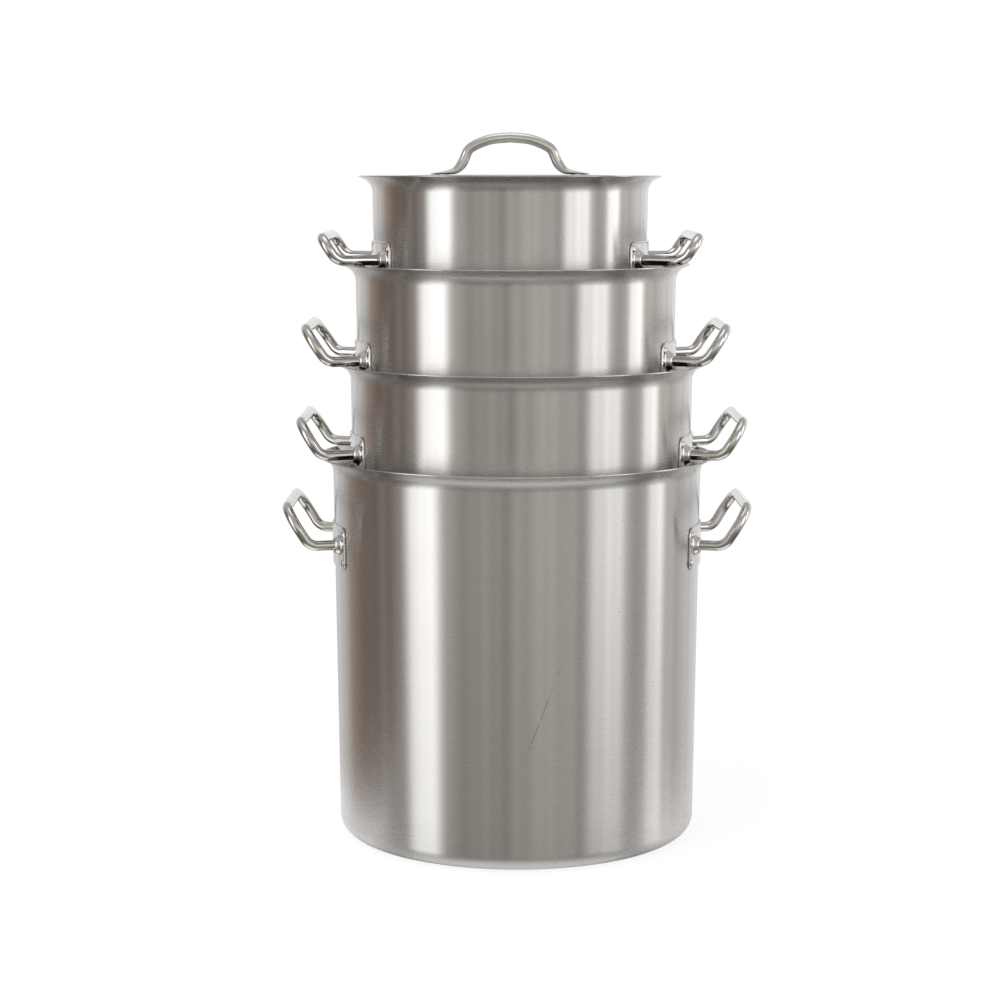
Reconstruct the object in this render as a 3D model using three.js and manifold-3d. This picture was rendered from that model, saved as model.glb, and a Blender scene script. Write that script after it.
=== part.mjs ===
// A nest of four stainless steel stockpots with a lid on the innermost one.
// Each pot hangs inside the next larger one, with its handle bars resting on that pot's flared lip.
// Millimetres, +Z up, origin at the middle of the largest pot's base.
import * as THREE from "three";
import { mergeVertices } from "three/addons/utils/BufferGeometryUtils.js";
import Module from "manifold-3d";

const wasm = await Module();
wasm.setup();

// The pots, from the outermost to the innermost.
const largestWallRadius = 162;
const largestHeight = 337;
const largeHeight = 310;
const mediumHeight = 290;
const smallHeight = 250;

// How much smaller a wall's radius is than that of the pot around it, and how far off centre the pot
// hangs there, as a share of its play, towards +X.
const largeNestGap = 12;
const mediumNestGap = 10;
const smallNestGap = 20;
const largeLean = 0.56;
const mediumLean = -1;
const smallLean = -0.32;

// From the lip's top down to the underside of the handle legs, which a pot hangs by.
const largestBarDrop = 78.5;
const largeBarDrop = 80.5;
const mediumBarDrop = 86;
const smallBarDrop = 76;

// Straight run of a leg past the wall, its bend upwards in degrees, and the height of the grip over the legs.
const largestLegRun = 19.5;
const largeLegRun = 26.5;
const mediumLegRun = 26.7;
const smallLegRun = 36;
const largestLegBend = 57;
const largeLegBend = 56;
const mediumLegBend = 54;
const smallLegBend = 54;
const largestGripRise = 32.5;
const largeGripRise = 28;
const mediumGripRise = 27.4;
const smallGripRise = 18.7;

const potSizes = [
  {
    name: "largest",
    height: largestHeight,
    barDrop: largestBarDrop,
    legRun: largestLegRun,
    legBend: largestLegBend,
    gripRise: largestGripRise,
  },
  {
    name: "large",
    nestGap: largeNestGap,
    lean: largeLean,
    height: largeHeight,
    barDrop: largeBarDrop,
    legRun: largeLegRun,
    legBend: largeLegBend,
    gripRise: largeGripRise,
  },
  {
    name: "medium",
    nestGap: mediumNestGap,
    lean: mediumLean,
    height: mediumHeight,
    barDrop: mediumBarDrop,
    legRun: mediumLegRun,
    legBend: mediumLegBend,
    gripRise: mediumGripRise,
  },
  {
    name: "small",
    nestGap: smallNestGap,
    lean: smallLean,
    height: smallHeight,
    barDrop: smallBarDrop,
    legRun: smallLegRun,
    legBend: smallLegBend,
    gripRise: smallGripRise,
  },
];

// Shells: spun sheet with a slight draft, a rounded base corner and a lip that flares like a trumpet.
const sheet = 1;
const draftAngle = 0.75;
const cornerRadius = 15;
const lipRadius = 13;
const lipSweep = 68;
const lipFlat = 4.5;

// Side handles: a round bar bent up and across, with both ends in the bosses of a riveted bracket.
const barDiameter = 9;
const legSpan = 103;
const bendRadius = 14;
const gripCorner = 20;
const gripCornerShare = 0.9;
const bracketThickness = 1.5;
const bracketCorner = 8;
const bracketBelowLegs = 2.6;
const bossWall = 1.2;
const bossTaper = 3;
const bossReach = 6;
const socketWeb = 1;

// Rivets: a low domed head outside and a flat tail inside.
const rivetDiameter = 4;
const rivetHeadDiameter = 7;
const rivetHeadHeight = 1.5;
const rivetTailDiameter = 6.4;
const rivetTailHeight = 1;
const rivetBesideLeg = 10.5;
const rivetPitch = 24;
const bracketEndMargin = 5;
const bracketEdgeMargin = 6.5;

// Lid: a plate that lies in the lip's flare, and an arched bar on two flattened feet.
const lidSheet = 1;
const lidSeatBack = 8;
const lidFlatRadius = 82;
const lidRise = 0.6;
const archBarDiameter = 8.8;
const archHeight = 32;
const archHalfSpan = 37;
const footEnd = 69;
const footLength = 24;
const footWidth = 14;
const footThickness = 2.2;
const footRivetInset = 5.5;
const footRivetPitch = 9;

// Gap between pieces that touch on the real object, and how finely round forms are divided.
const clearance = 0.3;
const roundSides = 32;
const barSides = 8;
const handleSteps = 34;
const archSteps = 22;
const rivetSides = 6;
const lipSteps = 3;
const cornerSteps = 3;

const brushedSteel = new THREE.MeshStandardMaterial({ color: 0xb9b6b2, roughness: 0.35, metalness: 1 });
const polishedSteel = new THREE.MeshStandardMaterial({ color: 0xd6d4d0, roughness: 0.12, metalness: 1 });
const rad = THREE.MathUtils.degToRad;
const at = (x, y) => new THREE.Vector2(x, y);
const at3 = (x, y, z) => new THREE.Vector3(x, y, z);

// Solids for joining and cutting, and back to a geometry.
function solidOf(geometry) {
  const bare = geometry.clone();
  bare.deleteAttribute("normal");
  bare.deleteAttribute("uv");
  const merged = mergeVertices(bare, 1e-4);
  const mesh = new wasm.Mesh({
    numProp: 3,
    vertProperties: merged.attributes.position.array,
    triVerts: new Uint32Array(merged.index.array),
  });
  return new wasm.Manifold(mesh);
}

function geometryOf(solid) {
  const made = solid.getMesh();
  const geometry = new THREE.BufferGeometry();
  geometry.setAttribute("position", new THREE.Float32BufferAttribute(made.vertProperties, 3));
  geometry.setIndex(new THREE.BufferAttribute(made.triVerts, 1));
  geometry.computeVertexNormals();
  return geometry;
}

function named(name, geometry, material) {
  const mesh = new THREE.Mesh(geometry, material);
  mesh.name = name;
  return mesh;
}

// A turned form about +Z, from a profile of (radius, height) points that runs up its outside.
function turned(profile, sides = roundSides) {
  return new THREE.LatheGeometry(profile, sides).rotateX(Math.PI / 2);
}

// The same about +X, for bosses, rivets and the holes that they go through.
function turnedAlongX(profile, sides) {
  return new THREE.LatheGeometry(profile, sides).rotateZ(-Math.PI / 2);
}

function rodAlongX(radius, from, to, sides) {
  return turnedAlongX([at(0, from), at(radius, from), at(radius, to), at(0, to)], sides);
}

// Part of a circle from start, setting off along heading and ending along leaving.
class Bend extends THREE.Curve {
  constructor(start, heading, leaving, radius) {
    super();
    const angle = heading.angleTo(leaving);
    const side = leaving.clone().addScaledVector(heading, -heading.dot(leaving)).normalize();
    Object.assign(this, { start, heading, side, radius, angle });
  }

  getPoint(t, target = new THREE.Vector3()) {
    const turn = this.angle * t;
    target.copy(this.start);
    target.addScaledVector(this.heading, this.radius * Math.sin(turn));
    return target.addScaledVector(this.side, this.radius * (1 - Math.cos(turn)));
  }
}

function roundBar(path, diameter, steps) {
  const corners = [];
  for (let i = 0; i < barSides; i++) {
    const turn = (2 * Math.PI * i) / barSides;
    corners.push(at((diameter / 2) * Math.cos(turn), (diameter / 2) * Math.sin(turn)));
  }
  const options = { steps, extrudePath: path, bevelEnabled: false };
  return new THREE.ExtrudeGeometry(new THREE.Shape(corners), options);
}

// What follows from the sizes for each pot, in the pot's own frame, and where that frame sits.
const lipRise = (lipRadius + sheet) * Math.sin(rad(lipSweep)) + lipFlat * Math.cos(rad(lipSweep));
const lipOut = lipRadius * (1 - Math.cos(rad(lipSweep))) + lipFlat * Math.sin(rad(lipSweep));
const bracketHeight = rivetPitch + 2 * bracketEdgeMargin;
const rivetAcross = legSpan / 2 + rivetBesideLeg;
const bracketHalf = rivetAcross + bracketEndMargin;
const bossTopRadius = barDiameter / 2 + bossWall;
const bossRootRadius = bossTopRadius + bossTaper;

function describePots() {
  const described = [];
  for (const size of potSizes) {
    const around = described.at(-1);
    const proud = bracketThickness + rivetHeadHeight + 3 * clearance;
    const play = around ? size.nestGap - sheet - proud : 0;
    const legHeight = size.height - size.barDrop + barDiameter / 2;
    described.push({
      ...size,
      wallRadius: around ? around.wallRadius - size.nestGap : largestWallRadius,
      wallTop: size.height - lipRise,
      legHeight,
      bracketMiddle: legHeight - bracketBelowLegs,
      x: around ? around.x + size.lean * play : 0,
      z: around ? around.z + around.height + clearance - size.height + size.barDrop : 0,
    });
  }
  return described;
}

// Outside radius of a pot's wall at a height under its lip.
function wallAt(pot, height) {
  return pot.wallRadius - (pot.wallTop - height) * Math.tan(rad(draftAngle));
}

// How far out the wall is at a distance to the side of a leg's middle line.
function wallAcross(pot, across) {
  return Math.sqrt(wallAt(pot, pot.legHeight) ** 2 - across ** 2);
}

// The shell's section: offset 0 runs along its outside, and offset sheet along its inside.
function shellOutline(pot, offset) {
  const floorRadius = wallAt(pot, cornerRadius) - cornerRadius;
  const corner = cornerRadius - offset;
  const outline = [at(0, offset)];
  for (let i = 0; i <= cornerSteps; i++) {
    const turn = ((Math.PI / 2 - rad(draftAngle)) * i) / cornerSteps;
    outline.push(at(floorRadius + corner * Math.sin(turn), cornerRadius - corner * Math.cos(turn)));
  }
  const flareMiddle = pot.wallRadius + lipRadius;
  const flare = lipRadius + offset;
  for (let i = 0; i <= lipSteps; i++) {
    const turn = (rad(lipSweep) * i) / lipSteps;
    outline.push(at(flareMiddle - flare * Math.cos(turn), pot.wallTop + flare * Math.sin(turn)));
  }
  const end = outline.at(-1);
  const lean = rad(lipSweep);
  outline.push(at(end.x + lipFlat * Math.sin(lean), end.y + lipFlat * Math.cos(lean)));
  return outline;
}

// The four rivets of one bracket, as turns from the handle's middle line and heights.
function rivetSpots(pot) {
  const side = rivetAcross / pot.wallRadius;
  const spots = [];
  for (const turn of [-side, side]) {
    spots.push({ turn, height: pot.bracketMiddle + rivetPitch / 2, level: "top" });
    spots.push({ turn, height: pot.bracketMiddle - rivetPitch / 2, level: "bottom" });
  }
  return spots;
}

function rivetHoles(pot) {
  const wall = wallAt(pot, pot.bracketMiddle);
  const radius = rivetDiameter / 2 + clearance;
  return rivetSpots(pot).map(({ turn, height }) => {
    const hole = rodAlongX(radius, wall - lipOut, wall + lipOut, rivetSides);
    return solidOf(hole.rotateZ(turn).translate(0, 0, height));
  });
}

function shell(pot) {
  const inside = shellOutline(pot, sheet).reverse();
  let body = solidOf(turned([...shellOutline(pot, 0), ...inside]));
  for (const hole of rivetHoles(pot)) {
    body = body.subtract(hole);
    body = body.subtract(hole.rotate([0, 0, 180]));
  }
  return geometryOf(body);
}

// A band that follows the wall's outside, and the full core that lies inside such a band.
function wallBand(pot, low, high, from, to) {
  const outer = [at(wallAt(pot, low) + to, low), at(wallAt(pot, high) + to, high)];
  const inner = [at(wallAt(pot, high) + from, high), at(wallAt(pot, low) + from, low)];
  return turned([...outer, ...inner, outer[0].clone()]);
}

function wallCore(pot, low, high, to) {
  const outer = [at(wallAt(pot, low) + to, low), at(wallAt(pot, high) + to, high)];
  return turned([at(0, low), ...outer, at(0, high)]);
}

function roundedRectangle(width, height, corner) {
  const x = width / 2 - corner;
  const y = height / 2 - corner;
  const outline = new THREE.Shape();
  outline.absarc(x, -y, corner, -Math.PI / 2, 0);
  outline.absarc(x, y, corner, 0, Math.PI / 2);
  outline.absarc(-x, y, corner, Math.PI / 2, Math.PI);
  outline.absarc(-x, -y, corner, Math.PI, 1.5 * Math.PI);
  return outline;
}

// How far a leg turns aside from the handle's middle line, so that it leaves the wall squarely.
function legTurn(pot) {
  return Math.asin(legSpan / 2 / wallAt(pot, pot.legHeight));
}

// Where the bar's end stops in its boss, along the leg.
function socketFloor(pot) {
  return wallAt(pot, pot.legHeight) + clearance + socketWeb;
}

// A pressed plate that follows the wall, with a boss for each end of the bar.
function bracket(pot) {
  const low = pot.bracketMiddle - bracketHeight / 2;
  const high = pot.bracketMiddle + bracketHeight / 2;
  const width = 2 * pot.wallRadius * Math.sin(bracketHalf / pot.wallRadius);
  const blank = new THREE.ExtrudeGeometry(roundedRectangle(width, bracketHeight, bracketCorner), {
    depth: pot.wallRadius + lipOut,
    bevelEnabled: false,
    curveSegments: 2,
  });
  blank.rotateX(Math.PI / 2).rotateZ(Math.PI / 2).translate(0, 0, pot.bracketMiddle);
  let plate = solidOf(wallBand(pot, low, high, clearance, clearance + bracketThickness));
  plate = plate.intersect(solidOf(blank));

  const bossTop = pot.wallRadius + bossReach;
  const bossRoot = wallAcross(pot, bossRootRadius);
  const bossSide = [at(bossRootRadius, bossRoot), at(bossTopRadius, bossTop)];
  const bossOutline = [at(0, bossRoot), ...bossSide, at(0, bossTop)];
  const core = solidOf(wallCore(pot, low - cornerRadius, high + cornerRadius, clearance));
  const legTurns = [-legTurn(pot), legTurn(pot)];
  for (const turn of legTurns) {
    const boss = turnedAlongX(bossOutline, barSides).rotateZ(turn).translate(0, 0, pot.legHeight);
    plate = plate.add(solidOf(boss));
  }
  plate = plate.subtract(core);
  for (const turn of legTurns) {
    const socket = rodAlongX(barDiameter / 2 + clearance, socketFloor(pot), bossTop + lipOut, barSides);
    plate = plate.subtract(solidOf(socket.rotateZ(turn).translate(0, 0, pot.legHeight)));
  }
  for (const hole of rivetHoles(pot)) plate = plate.subtract(hole);
  return geometryOf(plate);
}

// The bar: square out of the wall, up at a slant, across, and back the same way.
function handle(pot) {
  const slant = rad(pot.legBend);
  const mirrored = (p) => at3(p.x, -p.y, p.z);
  const outward = at3(Math.cos(legTurn(pot)), -Math.sin(legTurn(pot)), 0);
  const across = at3(0, 1, 0);
  const climb = outward.clone().multiplyScalar(Math.cos(slant)).setZ(Math.sin(slant));
  const fall = mirrored(climb).negate();
  const inward = mirrored(outward).negate();
  const climbAll = (pot.gripRise - bendRadius * (1 - Math.cos(slant))) / Math.sin(slant);
  const cornerLead = Math.tan(climb.angleTo(across) / 2);
  const corner = Math.min(gripCorner, (gripCornerShare * climbAll) / cornerLead);

  const level = at3(0, 0, pot.legHeight);
  const start = level.clone().addScaledVector(outward, socketFloor(pot) + clearance);
  const bendStart = level.clone().addScaledVector(outward, pot.wallRadius + pot.legRun);
  const firstBend = new Bend(bendStart, outward, climb, bendRadius);
  const climbStart = firstBend.getPoint(1);
  const climbEnd = climbStart.clone().addScaledVector(climb, climbAll - corner * cornerLead);
  const firstCorner = new Bend(climbEnd, climb, across, corner);
  const gripStart = firstCorner.getPoint(1);
  const secondCorner = new Bend(mirrored(gripStart), across, fall, corner);
  const secondBend = new Bend(mirrored(climbStart), fall, inward, bendRadius);

  const path = new THREE.CurvePath();
  path.add(new THREE.LineCurve3(start, bendStart));
  path.add(firstBend);
  path.add(new THREE.LineCurve3(climbStart, climbEnd));
  path.add(firstCorner);
  path.add(new THREE.LineCurve3(gripStart, mirrored(gripStart)));
  path.add(secondCorner);
  path.add(new THREE.LineCurve3(mirrored(climbEnd), mirrored(climbStart)));
  path.add(secondBend);
  path.add(new THREE.LineCurve3(mirrored(bendStart), mirrored(start)));
  return roundBar(path, barDiameter, handleSteps);
}

// A rivet along +X through the bracket and the wall, with its head outside.
function wallRivet(pot, { turn, height }) {
  const shank = rivetDiameter / 2;
  const head = rivetHeadDiameter / 2;
  const tail = rivetTailDiameter / 2;
  const seat = wallAt(pot, height) + bracketThickness + 2 * clearance;
  const inside = (wallAt(pot, height) - sheet) * Math.cos(Math.PI / roundSides) - clearance;
  const outline = [
    at(0, inside - rivetTailHeight),
    at(tail, inside - rivetTailHeight),
    at(tail, inside),
    at(shank, inside),
    at(shank, seat),
    at(head, seat),
    at(0.7 * head, seat + 0.75 * rivetHeadHeight),
    at(0, seat + rivetHeadHeight),
  ];
  return turnedAlongX(outline, rivetSides).rotateZ(turn).translate(0, 0, height);
}

function potGroup(pot) {
  const group = new THREE.Group();
  group.position.set(pot.x, 0, pot.z);
  group.add(named(`${pot.name}_pot_shell`, shell(pot), brushedSteel));
  for (const side of ["right", "left"]) {
    const ear = new THREE.Group();
    const front = side === "right" ? -1 : 1;
    ear.rotation.z = side === "right" ? 0 : Math.PI;
    const label = `${pot.name}_pot_${side}`;
    ear.add(named(`${label}_bracket`, bracket(pot), polishedSteel));
    ear.add(named(`${label}_handle`, handle(pot), polishedSteel));
    for (const spot of rivetSpots(pot)) {
      const facing = Math.sign(spot.turn) === front ? "front" : "back";
      ear.add(named(`${label}_rivet_${facing}_${spot.level}`, wallRivet(pot, spot), polishedSteel));
    }
    group.add(ear);
  }
  return group;
}

// The lid, in the frame of the pot that it closes: its edge lies in the flare, a little inside the lip's end.
function lidPlate(pot) {
  const turn = rad(lipSweep - lidSeatBack);
  const flare = lipRadius + sheet + clearance;
  const edge = at(pot.wallRadius + lipRadius - flare * Math.cos(turn), pot.wallTop + flare * Math.sin(turn));
  const top = pot.height + lidRise;
  const profile = [
    at(0, top - lidSheet),
    at(lidFlatRadius, top - lidSheet),
    at(edge.x, edge.y),
    at(edge.x, edge.y + lidSheet),
    at(lidFlatRadius, top),
    at(0, top),
  ];
  let lid = solidOf(turned(profile));
  for (const spot of footRivetSpots) lid = lid.subtract(footRivetHole(pot, spot));
  return geometryOf(lid);
}

const footRivetSpots = [
  { name: "right_outer", x: footEnd - footRivetInset },
  { name: "right_inner", x: footEnd - footRivetInset - footRivetPitch },
  { name: "left_outer", x: footRivetInset - footEnd },
  { name: "left_inner", x: footRivetInset + footRivetPitch - footEnd },
];

function footRivetHole(pot, spot) {
  const radius = rivetDiameter / 2 + clearance;
  const low = pot.height - archHeight;
  const high = pot.height + archHeight;
  const hole = turned([at(0, low), at(radius, low), at(radius, high), at(0, high)], rivetSides);
  return solidOf(hole.translate(spot.x, 0, 0));
}

// The arch: one bar from foot to foot, with each foot flattened to a tongue that lies on the lid.
function archHandle(pot) {
  const seat = pot.height + lidRise + clearance;
  const barRadius = archBarDiameter / 2;
  const ankle = footEnd - footLength;
  const half = [
    at3(ankle + 1.2 * barRadius, 0, seat + barRadius),
    at3(ankle - 0.2 * barRadius, 0, seat + 1.7 * barRadius),
    at3(archHalfSpan + 0.7 * barRadius, 0, seat + 0.42 * archHeight),
    at3(archHalfSpan, 0, seat + 0.62 * archHeight),
    at3(0.83 * archHalfSpan, 0, seat + 0.79 * archHeight),
    at3(0.45 * archHalfSpan, 0, seat + 0.95 * archHeight),
  ];
  const otherHalf = half.map((p) => at3(-p.x, 0, p.z)).reverse();
  const path = new THREE.CatmullRomCurve3([...half, at3(0, 0, seat + archHeight), ...otherHalf]);
  let bar = solidOf(roundBar(path, archBarDiameter, archSteps));

  const tongue = new THREE.ExtrudeGeometry(roundedRectangle(footLength, footWidth, footWidth / 3), {
    depth: footThickness,
    bevelEnabled: false,
    curveSegments: 2,
  });
  const foot = solidOf(tongue.translate(footEnd - footLength / 2, 0, seat));
  bar = bar.add(foot).add(foot.rotate([0, 0, 180]));
  for (const spot of footRivetSpots) bar = bar.subtract(footRivetHole(pot, spot));
  return geometryOf(bar);
}

// A rivet up through the lid and a foot: its head is under the lid, and it ends flush with the foot's top.
function footRivet(pot, spot) {
  const shank = rivetDiameter / 2;
  const head = rivetHeadDiameter / 2;
  const seat = pot.height + lidRise - lidSheet - clearance;
  const top = pot.height + lidRise + clearance + footThickness;
  const outline = [
    at(0, seat - rivetHeadHeight),
    at(0.7 * head, seat - 0.75 * rivetHeadHeight),
    at(head, seat),
    at(shank, seat),
    at(shank, top),
    at(0, top),
  ];
  return turned(outline, rivetSides).translate(spot.x, 0, 0);
}

function lidGroup(pot) {
  const group = new THREE.Group();
  group.position.set(pot.x, 0, pot.z);
  group.add(named("lid_plate", lidPlate(pot), brushedSteel));
  group.add(named("lid_handle", archHandle(pot), polishedSteel));
  for (const spot of footRivetSpots) {
    group.add(named(`lid_rivet_${spot.name}`, footRivet(pot, spot), polishedSteel));
  }
  return group;
}

const nest = new THREE.Group();
const pots = describePots();
for (const pot of pots) nest.add(potGroup(pot));
nest.add(lidGroup(pots.at(-1)));

export default nest;
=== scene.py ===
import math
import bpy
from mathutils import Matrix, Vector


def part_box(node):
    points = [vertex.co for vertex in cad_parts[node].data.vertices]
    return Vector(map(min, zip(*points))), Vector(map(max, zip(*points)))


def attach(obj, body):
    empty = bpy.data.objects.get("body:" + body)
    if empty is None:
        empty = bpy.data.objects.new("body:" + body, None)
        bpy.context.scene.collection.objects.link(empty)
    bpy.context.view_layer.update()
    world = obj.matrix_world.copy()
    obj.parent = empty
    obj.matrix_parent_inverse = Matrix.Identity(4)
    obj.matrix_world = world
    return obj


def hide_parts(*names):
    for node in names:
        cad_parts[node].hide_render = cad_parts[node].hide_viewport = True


bl_info = {
    "name": "Nest of Stockpots",
    "version": (1, 0, 0),
    "blender": (4, 5, 0),
    "location": "3D Viewport > Sidebar > Stockpots",
    "description": "Dresses a nest of stainless steel stockpots around its packed solids",
    "category": "Object",
}

from functools import partial
from math import cos, pi, sin

import bmesh
import bpy
from bpy.props import FloatProperty, FloatVectorProperty, IntProperty
from bpy.props import PointerProperty, StringProperty
from bpy.types import Operator, Panel, PropertyGroup
from mathutils import Vector

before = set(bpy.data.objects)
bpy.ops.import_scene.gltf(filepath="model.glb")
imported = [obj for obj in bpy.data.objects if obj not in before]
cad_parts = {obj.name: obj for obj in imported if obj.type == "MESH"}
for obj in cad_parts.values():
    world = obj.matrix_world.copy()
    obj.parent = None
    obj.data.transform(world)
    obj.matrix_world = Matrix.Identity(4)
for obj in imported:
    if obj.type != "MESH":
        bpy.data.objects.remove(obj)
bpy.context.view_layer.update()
POTS = ("largest", "large", "medium", "small")
SIDES = {"right": 1, "left": -1}
MM = 0.001


# Sizes and finishes


def length(name, description, millimetres):
    kind = {"unit": "LENGTH", "subtype": "DISTANCE", "precision": 4}
    return FloatProperty(name=name, description=description, default=millimetres * MM, **kind)


def angle(name, description, degrees):
    kind = {"unit": "ROTATION", "subtype": "ANGLE"}
    return FloatProperty(name=name, description=description, default=math.radians(degrees), **kind)


def number(name, description, value):
    return FloatProperty(name=name, description=description, default=value)


def hex_colour(name, description, value):
    return StringProperty(name=name, description=description, default=value)


class STOCKPOTS_PG_shell(PropertyGroup):
    sheet: length("Sheet", "Thickness of the spun sheet", 1.0)
    draft: angle("Draft", "Lean of the wall from base to lip", 0.75)
    corner: length("Base corner", "Outside radius between base and wall", 15.0)
    lip_radius: length("Lip radius", "Outside radius of the flare under the lip", 13.0)
    lip_sweep: angle("Lip sweep", "How far the flare turns out from the wall", 68.0)
    lip_flat: length("Lip flat", "Straight end of the lip past its flare", 4.5)
    segments: IntProperty(
        name="Segments", description="Divisions round a shell", default=256, min=32
    )


class STOCKPOTS_PG_handle(PropertyGroup):
    bar: length("Bar", "Diameter of the side handle bars", 9.0)
    span: length("Leg span", "Distance between a bar's legs at the wall", 103.0)
    bend: length("Bend radius", "Bar's middle radius where a leg turns up", 14.0)
    corner: length("Grip corner", "Bar's middle radius where a leg meets the grip", 20.0)
    corner_share: number("Corner share", "Most of a climb that a corner takes", 0.9)
    socket_floor: length("Socket floor", "How far from the wall a bar's end stops", 1.6)
    plate: length("Plate", "Thickness of the bracket's sheet", 1.5)
    plate_width: length("Plate width", "Length of the bracket along the wall", 134.0)
    plate_height: length("Plate height", "Height of the bracket", 37.0)
    plate_corner: length("Plate corner", "Radius of the bracket's corners", 8.0)
    plate_below: length("Plate below legs", "From the legs down to the plate's middle", 2.6)
    boss_top: length("Boss top", "Radius of the flat end of a boss", 5.6)
    boss_root: length("Boss root", "Radius where a boss runs out into the plate", 9.5)
    boss_reach: length("Boss reach", "How far a boss stands past the wall", 6.0)
    clearance: length("Clearance", "Gap between the bracket and the wall", 0.3)


class STOCKPOTS_PG_rivet(PropertyGroup):
    head: length("Head", "Diameter of a rivet's head", 7.0)
    head_height: length("Head height", "Height of a rivet's dome", 1.5)
    shank: length("Shank", "Diameter of a rivet's shank", 4.0)
    tail: length("Tail", "Diameter of the formed end", 6.4)
    tail_height: length("Tail height", "Height of the formed end", 1.0)
    across: length("Across", "From the handle's middle to a rivet, along the wall", 62.0)
    pitch: length("Pitch", "Distance between the upper and the lower rivet", 24.0)


class STOCKPOTS_PG_lid(PropertyGroup):
    sheet: length("Sheet", "Thickness of the lid", 1.0)
    flat: length("Flat", "Radius of the lid's flat middle", 82.0)
    arch_bar: length("Arch bar", "Diameter of the lid handle's bar", 8.8)
    foot_end: length("Foot end", "From the lid's middle to a foot's tip", 69.0)
    rivet_outer: length("Outer rivet", "From the lid's middle to the outer rivets", 63.5)
    rivet_inner: length("Inner rivet", "From the lid's middle to the inner rivets", 54.5)


class STOCKPOTS_PG_pot(PropertyGroup):
    bar_drop: length("Bar drop", "From the lip's top to the underside of the legs", 80.0)
    leg_run: length("Leg run", "Straight run of a leg past the wall", 20.0)
    leg_bend: angle("Leg bend", "How far a leg turns upwards", 65.0)
    grip_rise: length("Grip rise", "Height of the grip over the legs", 33.0)


class STOCKPOTS_PG_finish(PropertyGroup):
    sheet_light: hex_colour("Sheet, light", "Brushed sheet along its bright lines", "#D1CFCD")
    sheet_dark: hex_colour("Sheet, dark", "Brushed sheet along its dull lines", "#C2C0BE")
    speck: hex_colour("Specks", "Small marks of use on the sheet", "#5B524A")
    bar_light: hex_colour("Bar, light", "Polished bars", "#E2E0DD")
    bar_dark: hex_colour("Bar, dark", "Bars where handling has dulled them", "#C9C6C2")
    bracket_light: hex_colour("Bracket, light", "Pressed brackets", "#E6E5E3")
    bracket_dark: hex_colour("Bracket, dark", "Brackets where the press marked them", "#C6C4C1")
    brush_spacing: length(
        "Brush spacing", "Distance between brush lines, coarser than real so that they show", 0.9
    )
    brush_length: length("Brush length", "Length of a brush line", 20.0)
    speck_cell: length("Speck cell", "Cells of which a few hold a speck", 8.0)
    speck_size: length("Speck size", "Width of a speck", 1.5)
    scratch_middle: FloatVectorProperty(
        name="Scratch middle",
        description="Middle of the long scratch on the largest wall",
        subtype="XYZ",
        unit="LENGTH",
        default=(22 * MM, -160 * MM, 140 * MM),
    )
    scratch_lean: angle("Scratch lean", "Lean of the long scratch to the right", 20.7)
    scratch_length: length("Scratch length", "Length of the long scratch", 80.0)
    scratch_width: length(
        "Scratch width", "Width of the long scratch, wider than a real one so that it shows", 1.0
    )


class STOCKPOTS_PG_stage(PropertyGroup):
    camera_distance: length("Camera distance", "From the largest pot's axis to the camera", 2122.0)
    camera_height: length("Camera height", "Height of the camera over the floor", 578.0)
    camera_offset: length("Camera offset", "From the largest pot's axis, to the left", 14.8)
    camera_pitch: angle("Camera pitch", "How far the camera looks down", 7.59)
    lens: number("Lens", "Focal length in millimetres on a 36 mm sensor", 86.9)
    room_radius: length("Room radius", "From the pots to the studio's cards", 3400.0)


class STOCKPOTS_PG_nest(PropertyGroup):
    shell: PointerProperty(type=STOCKPOTS_PG_shell)
    handle: PointerProperty(type=STOCKPOTS_PG_handle)
    rivet: PointerProperty(type=STOCKPOTS_PG_rivet)
    lid: PointerProperty(type=STOCKPOTS_PG_lid)
    finish: PointerProperty(type=STOCKPOTS_PG_finish)
    stage: PointerProperty(type=STOCKPOTS_PG_stage)
    largest: PointerProperty(type=STOCKPOTS_PG_pot)
    large: PointerProperty(type=STOCKPOTS_PG_pot)
    medium: PointerProperty(type=STOCKPOTS_PG_pot)
    small: PointerProperty(type=STOCKPOTS_PG_pot)


# The handles differ from pot to pot: drop, run and rise in millimetres, bend in degrees
MEASURED_HANDLES = {
    "largest": (78.5, 19.5, 57.0, 32.5),
    "large": (80.5, 26.5, 56.0, 28.0),
    "medium": (86.0, 26.7, 54.0, 27.4),
    "small": (76.0, 36.0, 54.0, 18.7),
}


def set_pot_sizes(nest):
    for name, (drop, run, bend, rise) in MEASURED_HANDLES.items():
        pot = getattr(nest, name)
        pot.bar_drop = drop * MM
        pot.leg_run = run * MM
        pot.leg_bend = math.radians(bend)
        pot.grip_rise = rise * MM


class PotPlace:
    """Where a pot stands and its main sizes, read from its packed shell."""

    def __init__(self, nest, name):
        low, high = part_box(f"{name}_pot_shell")
        shell, handle = nest.shell, nest.handle
        turned_out, turned_up = sin(shell.lip_sweep), cos(shell.lip_sweep)
        lip_rise = (shell.lip_radius + shell.sheet) * turned_out + shell.lip_flat * turned_up
        lip_out = shell.lip_radius * (1 - turned_up) + shell.lip_flat * turned_out
        self.own = getattr(nest, name)
        self.body = f"{name}_pot"
        self.x = (low[0] + high[0]) / 2
        self.base = low[2]
        self.wall = (high[0] - low[0]) / 2 - lip_out
        self.wall_top = high[2] - lip_rise
        self.slope = math.tan(shell.draft)
        self.leg = high[2] - self.own.bar_drop + handle.bar / 2
        self.leg_turn = math.asin(handle.span / 2 / self.wall_at(self.leg))
        self.plate_middle = self.leg - handle.plate_below

    def wall_at(self, z):
        return self.wall - (self.wall_top - z) * self.slope


# Meshes

MERGE_DISTANCE = 1e-7
ON_AXIS = 1e-6


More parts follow.
